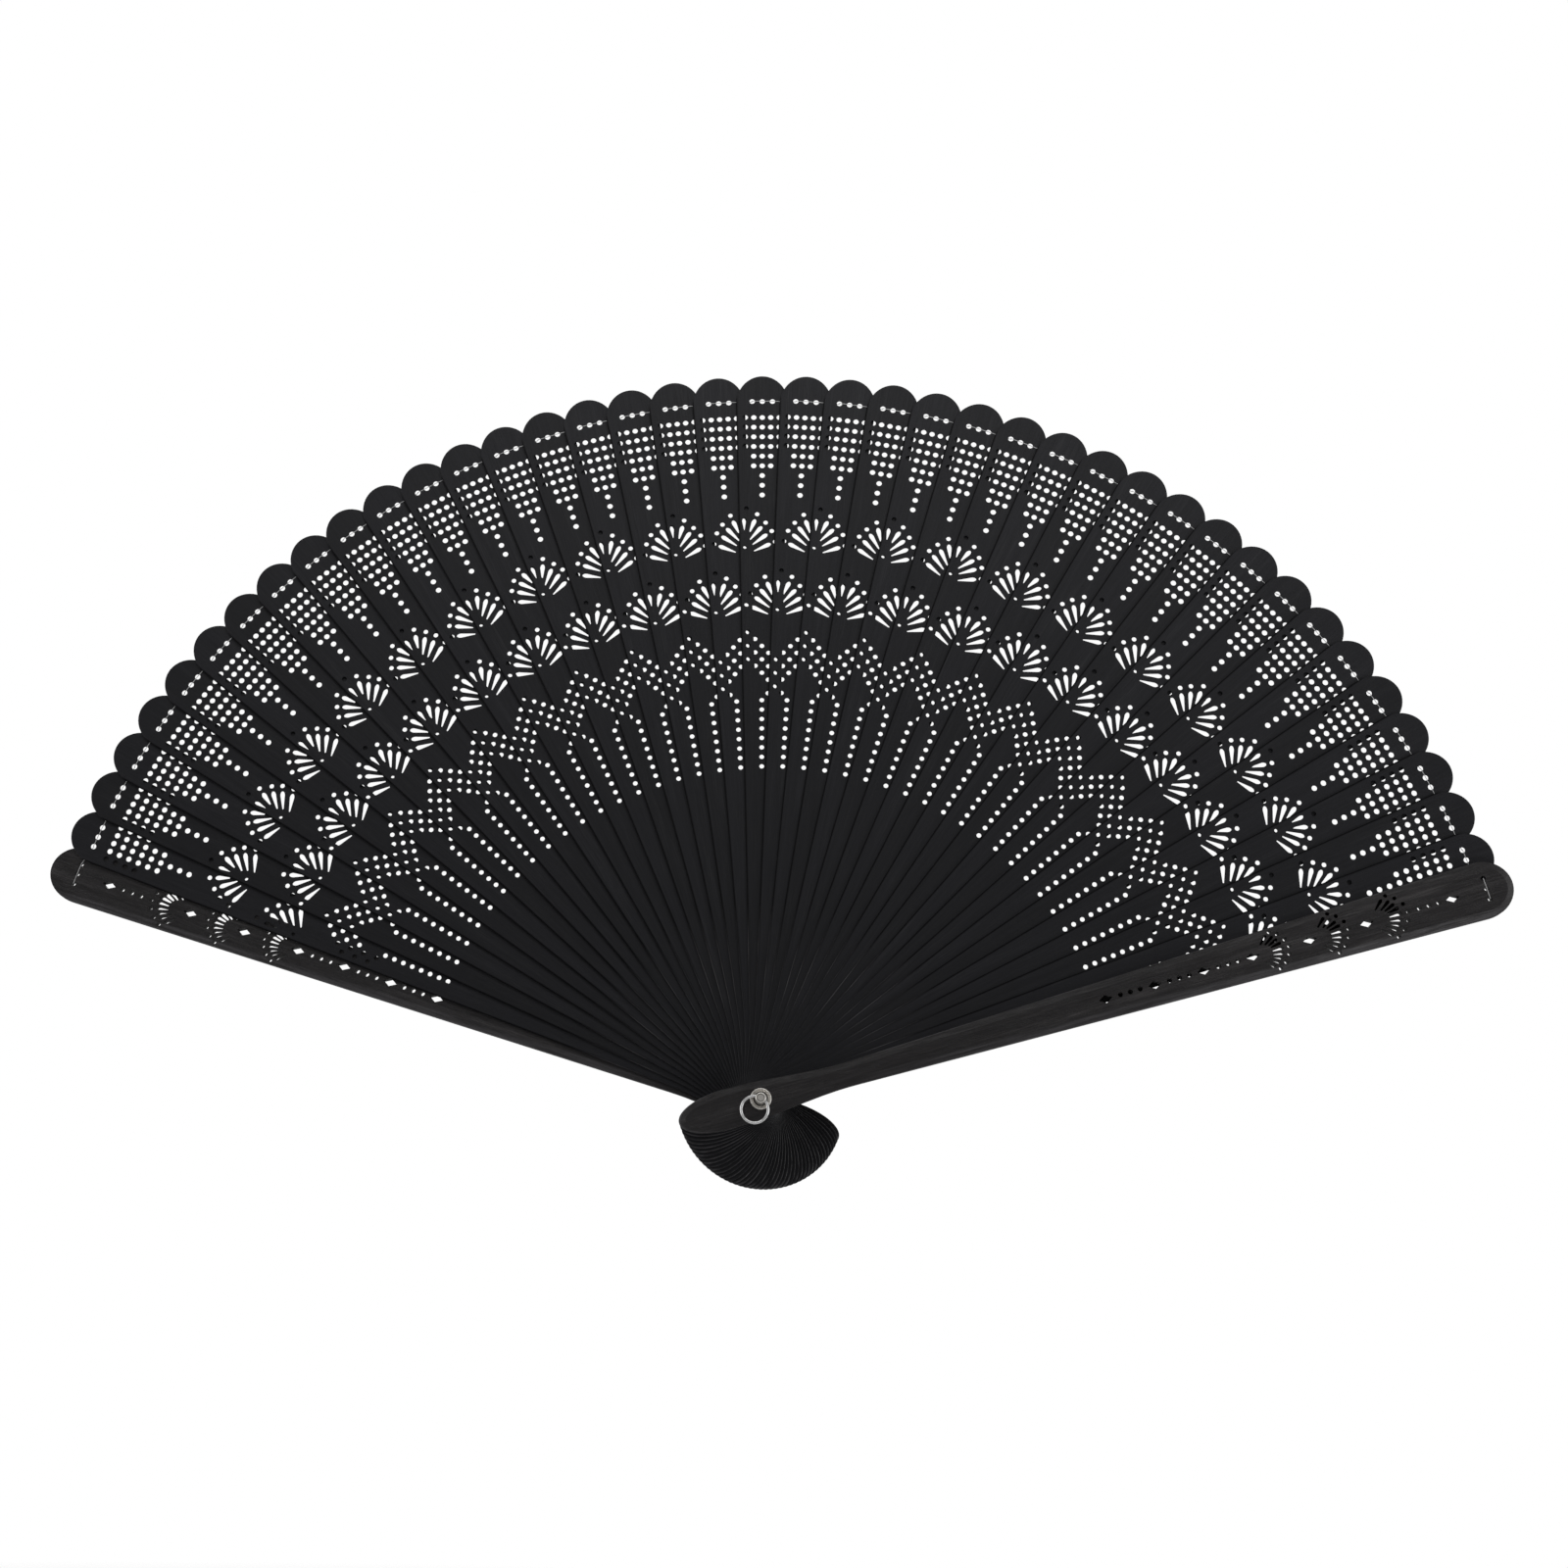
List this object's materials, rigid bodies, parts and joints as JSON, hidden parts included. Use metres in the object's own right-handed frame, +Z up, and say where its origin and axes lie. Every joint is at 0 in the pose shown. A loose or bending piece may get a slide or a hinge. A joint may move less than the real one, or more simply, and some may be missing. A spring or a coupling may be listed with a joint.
{
  "type": "folding fan",
  "caption": "Brise folding fan: pierced, dark-stained wooden blades between two thicker guards, turning on one rivet with a ring, laced by a thin cord.",
  "frame": {"origin": "on the rivet's axis, half way through the stack of sticks, where the hand holds the fan", "axes": "+Z up along the middle of the open fan, -Y towards the front with the knob and ring, +X to the right seen from the front"},
  "size_m": [0.3641, 0.0342, 0.2097],
  "materials": {
    "blade_wood": "matte black stain over faint straight grain",
    "guard_wood": "matte black stain over streaky grain, bevelled edges",
    "rivet_metal": "bright nickel plate",
    "ring_wire": "polished wire",
    "cord": "thin pale grey thread"
  },
  "bodies": {
    "back_guard": {"back_guard": "guard_wood", "rivet_pin": "rivet_metal", "back_washer": "rivet_metal", "front_washer": "rivet_metal", "binding_cord": "cord"},
    "blade_01": {"blade_01": "blade_wood"},
    "blade_02": {"blade_02": "blade_wood"},
    "blade_03": {"blade_03": "blade_wood"},
    "blade_04": {"blade_04": "blade_wood"},
    "blade_05": {"blade_05": "blade_wood"},
    "blade_06": {"blade_06": "blade_wood"},
    "blade_07": {"blade_07": "blade_wood"},
    "blade_08": {"blade_08": "blade_wood"},
    "blade_09": {"blade_09": "blade_wood"},
    "blade_10": {"blade_10": "blade_wood"},
    "blade_11": {"blade_11": "blade_wood"},
    "blade_12": {"blade_12": "blade_wood"},
    "blade_13": {"blade_13": "blade_wood"},
    "blade_14": {"blade_14": "blade_wood"},
    "blade_15": {"blade_15": "blade_wood"},
    "blade_16": {"blade_16": "blade_wood"},
    "blade_17": {"blade_17": "blade_wood"},
    "blade_18": {"blade_18": "blade_wood"},
    "blade_19": {"blade_19": "blade_wood"},
    "blade_20": {"blade_20": "blade_wood"},
    "blade_21": {"blade_21": "blade_wood"},
    "blade_22": {"blade_22": "blade_wood"},
    "blade_23": {"blade_23": "blade_wood"},
    "blade_24": {"blade_24": "blade_wood"},
    "blade_25": {"blade_25": "blade_wood"},
    "blade_26": {"blade_26": "blade_wood"},
    "blade_27": {"blade_27": "blade_wood"},
    "blade_28": {"blade_28": "blade_wood"},
    "blade_29": {"blade_29": "blade_wood"},
    "blade_30": {"blade_30": "blade_wood"},
    "blade_31": {"blade_31": "blade_wood"},
    "blade_32": {"blade_32": "blade_wood"},
    "blade_33": {"blade_33": "blade_wood"},
    "blade_34": {"blade_34": "blade_wood"},
    "blade_35": {"blade_35": "blade_wood"},
    "blade_36": {"blade_36": "blade_wood"},
    "blade_37": {"blade_37": "blade_wood"},
    "blade_38": {"blade_38": "blade_wood"},
    "blade_39": {"blade_39": "blade_wood"},
    "blade_40": {"blade_40": "blade_wood"},
    "front_guard": {"front_guard": "guard_wood"},
    "tassel_ring": {"tassel_ring": "ring_wire"}
  },
  "joints": [
    {"name": "fan_fold", "type": "hinge", "parent": "back_guard", "child": "front_guard", "pos_m": [0, 0, 0], "axis": [0, -1, 0], "range_deg": [0, 144.79], "deforming": ["binding_cord"]},
    {"name": "blade_01_turn", "type": "hinge", "parent": "back_guard", "child": "blade_01", "pos_m": [0, 0, 0], "axis": [0, -1, 0], "range_deg": [-0.1, 3.4]},
    {"name": "blade_02_turn", "type": "hinge", "parent": "back_guard", "child": "blade_02", "pos_m": [0, 0, 0], "axis": [0, -1, 0], "range_deg": [-0.1, 6.96]},
    {"name": "blade_03_turn", "type": "hinge", "parent": "back_guard", "child": "blade_03", "pos_m": [0, 0, 0], "axis": [0, -1, 0], "range_deg": [-0.1, 10.52]},
    {"name": "blade_04_turn", "type": "hinge", "parent": "back_guard", "child": "blade_04", "pos_m": [0, 0, 0], "axis": [0, -1, 0], "range_deg": [-0.1, 14.08]},
    {"name": "blade_05_turn", "type": "hinge", "parent": "back_guard", "child": "blade_05", "pos_m": [0, 0, 0], "axis": [0, -1, 0], "range_deg": [-0.1, 17.64]},
    {"name": "blade_06_turn", "type": "hinge", "parent": "back_guard", "child": "blade_06", "pos_m": [0, 0, 0], "axis": [0, -1, 0], "range_deg": [-0.1, 21.2]},
    {"name": "blade_07_turn", "type": "hinge", "parent": "back_guard", "child": "blade_07", "pos_m": [0, 0, 0], "axis": [0, -1, 0], "range_deg": [-0.1, 24.76]},
    {"name": "blade_08_turn", "type": "hinge", "parent": "back_guard", "child": "blade_08", "pos_m": [0, 0, 0], "axis": [0, -1, 0], "range_deg": [-0.1, 28.32]},
    {"name": "blade_09_turn", "type": "hinge", "parent": "back_guard", "child": "blade_09", "pos_m": [0, 0, 0], "axis": [0, -1, 0], "range_deg": [-0.1, 31.88]},
    {"name": "blade_10_turn", "type": "hinge", "parent": "back_guard", "child": "blade_10", "pos_m": [0, 0, 0], "axis": [0, -1, 0], "range_deg": [-0.1, 35.44]},
    {"name": "blade_11_turn", "type": "hinge", "parent": "back_guard", "child": "blade_11", "pos_m": [0, 0, 0], "axis": [0, -1, 0], "range_deg": [-0.1, 39]},
    {"name": "blade_12_turn", "type": "hinge", "parent": "back_guard", "child": "blade_12", "pos_m": [0, 0, 0], "axis": [0, -1, 0], "range_deg": [-0.1, 42.56]},
    {"name": "blade_13_turn", "type": "hinge", "parent": "back_guard", "child": "blade_13", "pos_m": [0, 0, 0], "axis": [0, -1, 0], "range_deg": [-0.1, 46.12]},
    {"name": "blade_14_turn", "type": "hinge", "parent": "back_guard", "child": "blade_14", "pos_m": [0, 0, 0], "axis": [0, -1, 0], "range_deg": [-0.1, 49.68]},
    {"name": "blade_15_turn", "type": "hinge", "parent": "back_guard", "child": "blade_15", "pos_m": [0, 0, 0], "axis": [0, -1, 0], "range_deg": [-0.1, 53.24]},
    {"name": "blade_16_turn", "type": "hinge", "parent": "back_guard", "child": "blade_16", "pos_m": [0, 0, 0], "axis": [0, -1, 0], "range_deg": [-0.1, 56.8]},
    {"name": "blade_17_turn", "type": "hinge", "parent": "back_guard", "child": "blade_17", "pos_m": [0, 0, 0], "axis": [0, -1, 0], "range_deg": [-0.1, 60.36]},
    {"name": "blade_18_turn", "type": "hinge", "parent": "back_guard", "child": "blade_18", "pos_m": [0, 0, 0], "axis": [0, -1, 0], "range_deg": [-0.1, 63.92]},
    {"name": "blade_19_turn", "type": "hinge", "parent": "back_guard", "child": "blade_19", "pos_m": [0, 0, 0], "axis": [0, -1, 0], "range_deg": [-0.1, 67.48]},
    {"name": "blade_20_turn", "type": "hinge", "parent": "back_guard", "child": "blade_20", "pos_m": [0, 0, 0], "axis": [0, -1, 0], "range_deg": [-0.1, 71.04]},
    {"name": "blade_21_turn", "type": "hinge", "parent": "back_guard", "child": "blade_21", "pos_m": [0, 0, 0], "axis": [0, -1, 0], "range_deg": [-0.1, 74.6]},
    {"name": "blade_22_turn", "type": "hinge", "parent": "back_guard", "child": "blade_22", "pos_m": [0, 0, 0], "axis": [0, -1, 0], "range_deg": [-0.1, 78.16]},
    {"name": "blade_23_turn", "type": "hinge", "parent": "back_guard", "child": "blade_23", "pos_m": [0, 0, 0], "axis": [0, -1, 0], "range_deg": [-0.1, 81.72]},
    {"name": "blade_24_turn", "type": "hinge", "parent": "back_guard", "child": "blade_24", "pos_m": [0, 0, 0], "axis": [0, -1, 0], "range_deg": [-0.1, 85.28]},
    {"name": "blade_25_turn", "type": "hinge", "parent": "back_guard", "child": "blade_25", "pos_m": [0, 0, 0], "axis": [0, -1, 0], "range_deg": [-0.1, 88.84]},
    {"name": "blade_26_turn", "type": "hinge", "parent": "back_guard", "child": "blade_26", "pos_m": [0, 0, 0], "axis": [0, -1, 0], "range_deg": [-0.1, 92.4]},
    {"name": "blade_27_turn", "type": "hinge", "parent": "back_guard", "child": "blade_27", "pos_m": [0, 0, 0], "axis": [0, -1, 0], "range_deg": [-0.1, 95.96]},
    {"name": "blade_28_turn", "type": "hinge", "parent": "back_guard", "child": "blade_28", "pos_m": [0, 0, 0], "axis": [0, -1, 0], "range_deg": [-0.1, 99.52]},
    {"name": "blade_29_turn", "type": "hinge", "parent": "back_guard", "child": "blade_29", "pos_m": [0, 0, 0], "axis": [0, -1, 0], "range_deg": [-0.1, 103.08]},
    {"name": "blade_30_turn", "type": "hinge", "parent": "back_guard", "child": "blade_30", "pos_m": [0, 0, 0], "axis": [0, -1, 0], "range_deg": [-0.1, 106.64]},
    {"name": "blade_31_turn", "type": "hinge", "parent": "back_guard", "child": "blade_31", "pos_m": [0, 0, 0], "axis": [0, -1, 0], "range_deg": [-0.1, 110.2]},
    {"name": "blade_32_turn", "type": "hinge", "parent": "back_guard", "child": "blade_32", "pos_m": [0, 0, 0], "axis": [0, -1, 0], "range_deg": [-0.1, 113.76]},
    {"name": "blade_33_turn", "type": "hinge", "parent": "back_guard", "child": "blade_33", "pos_m": [0, 0, 0], "axis": [0, -1, 0], "range_deg": [-0.1, 117.32]},
    {"name": "blade_34_turn", "type": "hinge", "parent": "back_guard", "child": "blade_34", "pos_m": [0, 0, 0], "axis": [0, -1, 0], "range_deg": [-0.1, 120.88]},
    {"name": "blade_35_turn", "type": "hinge", "parent": "back_guard", "child": "blade_35", "pos_m": [0, 0, 0], "axis": [0, -1, 0], "range_deg": [-0.1, 124.44]},
    {"name": "blade_36_turn", "type": "hinge", "parent": "back_guard", "child": "blade_36", "pos_m": [0, 0, 0], "axis": [0, -1, 0], "range_deg": [-0.1, 128]},
    {"name": "blade_37_turn", "type": "hinge", "parent": "back_guard", "child": "blade_37", "pos_m": [0, 0, 0], "axis": [0, -1, 0], "range_deg": [-0.1, 131.56]},
    {"name": "blade_38_turn", "type": "hinge", "parent": "back_guard", "child": "blade_38", "pos_m": [0, 0, 0], "axis": [0, -1, 0], "range_deg": [-0.1, 135.12]},
    {"name": "blade_39_turn", "type": "hinge", "parent": "back_guard", "child": "blade_39", "pos_m": [0, 0, 0], "axis": [0, -1, 0], "range_deg": [-0.1, 138.68]},
    {"name": "blade_40_turn", "type": "hinge", "parent": "back_guard", "child": "blade_40", "pos_m": [0, 0, 0], "axis": [0, -1, 0], "range_deg": [-0.1, 142.24]},
    {"name": "ring_swing", "type": "hinge", "parent": "back_guard", "child": "tassel_ring", "pos_m": [0, -0.01673, 0], "axis": [-0.887, 0, 0.4617], "range_deg": [0, 175]}
  ],
  "couplings": [
    {"joint": "blade_01_turn", "follows": "fan_fold", "ratio": 0.022792},
    {"joint": "blade_02_turn", "follows": "fan_fold", "ratio": 0.047379},
    {"joint": "blade_03_turn", "follows": "fan_fold", "ratio": 0.071966},
    {"joint": "blade_04_turn", "follows": "fan_fold", "ratio": 0.096554},
    {"joint": "blade_05_turn", "follows": "fan_fold", "ratio": 0.12114},
    {"joint": "blade_06_turn", "follows": "fan_fold", "ratio": 0.14573},
    {"joint": "blade_07_turn", "follows": "fan_fold", "ratio": 0.17032},
    {"joint": "blade_08_turn", "follows": "fan_fold", "ratio": 0.1949},
    {"joint": "blade_09_turn", "follows": "fan_fold", "ratio": 0.21949},
    {"joint": "blade_10_turn", "follows": "fan_fold", "ratio": 0.24408},
    {"joint": "blade_11_turn", "follows": "fan_fold", "ratio": 0.26866},
    {"joint": "blade_12_turn", "follows": "fan_fold", "ratio": 0.29325},
    {"joint": "blade_13_turn", "follows": "fan_fold", "ratio": 0.31784},
    {"joint": "blade_14_turn", "follows": "fan_fold", "ratio": 0.34243},
    {"joint": "blade_15_turn", "follows": "fan_fold", "ratio": 0.36701},
    {"joint": "blade_16_turn", "follows": "fan_fold", "ratio": 0.3916},
    {"joint": "blade_17_turn", "follows": "fan_fold", "ratio": 0.41619},
    {"joint": "blade_18_turn", "follows": "fan_fold", "ratio": 0.44078},
    {"joint": "blade_19_turn", "follows": "fan_fold", "ratio": 0.46536},
    {"joint": "blade_20_turn", "follows": "fan_fold", "ratio": 0.48995},
    {"joint": "blade_21_turn", "follows": "fan_fold", "ratio": 0.51454},
    {"joint": "blade_22_turn", "follows": "fan_fold", "ratio": 0.53913},
    {"joint": "blade_23_turn", "follows": "fan_fold", "ratio": 0.56371},
    {"joint": "blade_24_turn", "follows": "fan_fold", "ratio": 0.5883},
    {"joint": "blade_25_turn", "follows": "fan_fold", "ratio": 0.61289},
    {"joint": "blade_26_turn", "follows": "fan_fold", "ratio": 0.63748},
    {"joint": "blade_27_turn", "follows": "fan_fold", "ratio": 0.66206},
    {"joint": "blade_28_turn", "follows": "fan_fold", "ratio": 0.68665},
    {"joint": "blade_29_turn", "follows": "fan_fold", "ratio": 0.71124},
    {"joint": "blade_30_turn", "follows": "fan_fold", "ratio": 0.73582},
    {"joint": "blade_31_turn", "follows": "fan_fold", "ratio": 0.76041},
    {"joint": "blade_32_turn", "follows": "fan_fold", "ratio": 0.785},
    {"joint": "blade_33_turn", "follows": "fan_fold", "ratio": 0.80959},
    {"joint": "blade_34_turn", "follows": "fan_fold", "ratio": 0.83417},
    {"joint": "blade_35_turn", "follows": "fan_fold", "ratio": 0.85876},
    {"joint": "blade_36_turn", "follows": "fan_fold", "ratio": 0.88335},
    {"joint": "blade_37_turn", "follows": "fan_fold", "ratio": 0.90794},
    {"joint": "blade_38_turn", "follows": "fan_fold", "ratio": 0.93252},
    {"joint": "blade_39_turn", "follows": "fan_fold", "ratio": 0.95711},
    {"joint": "blade_40_turn", "follows": "fan_fold", "ratio": 0.9817}
  ]
}
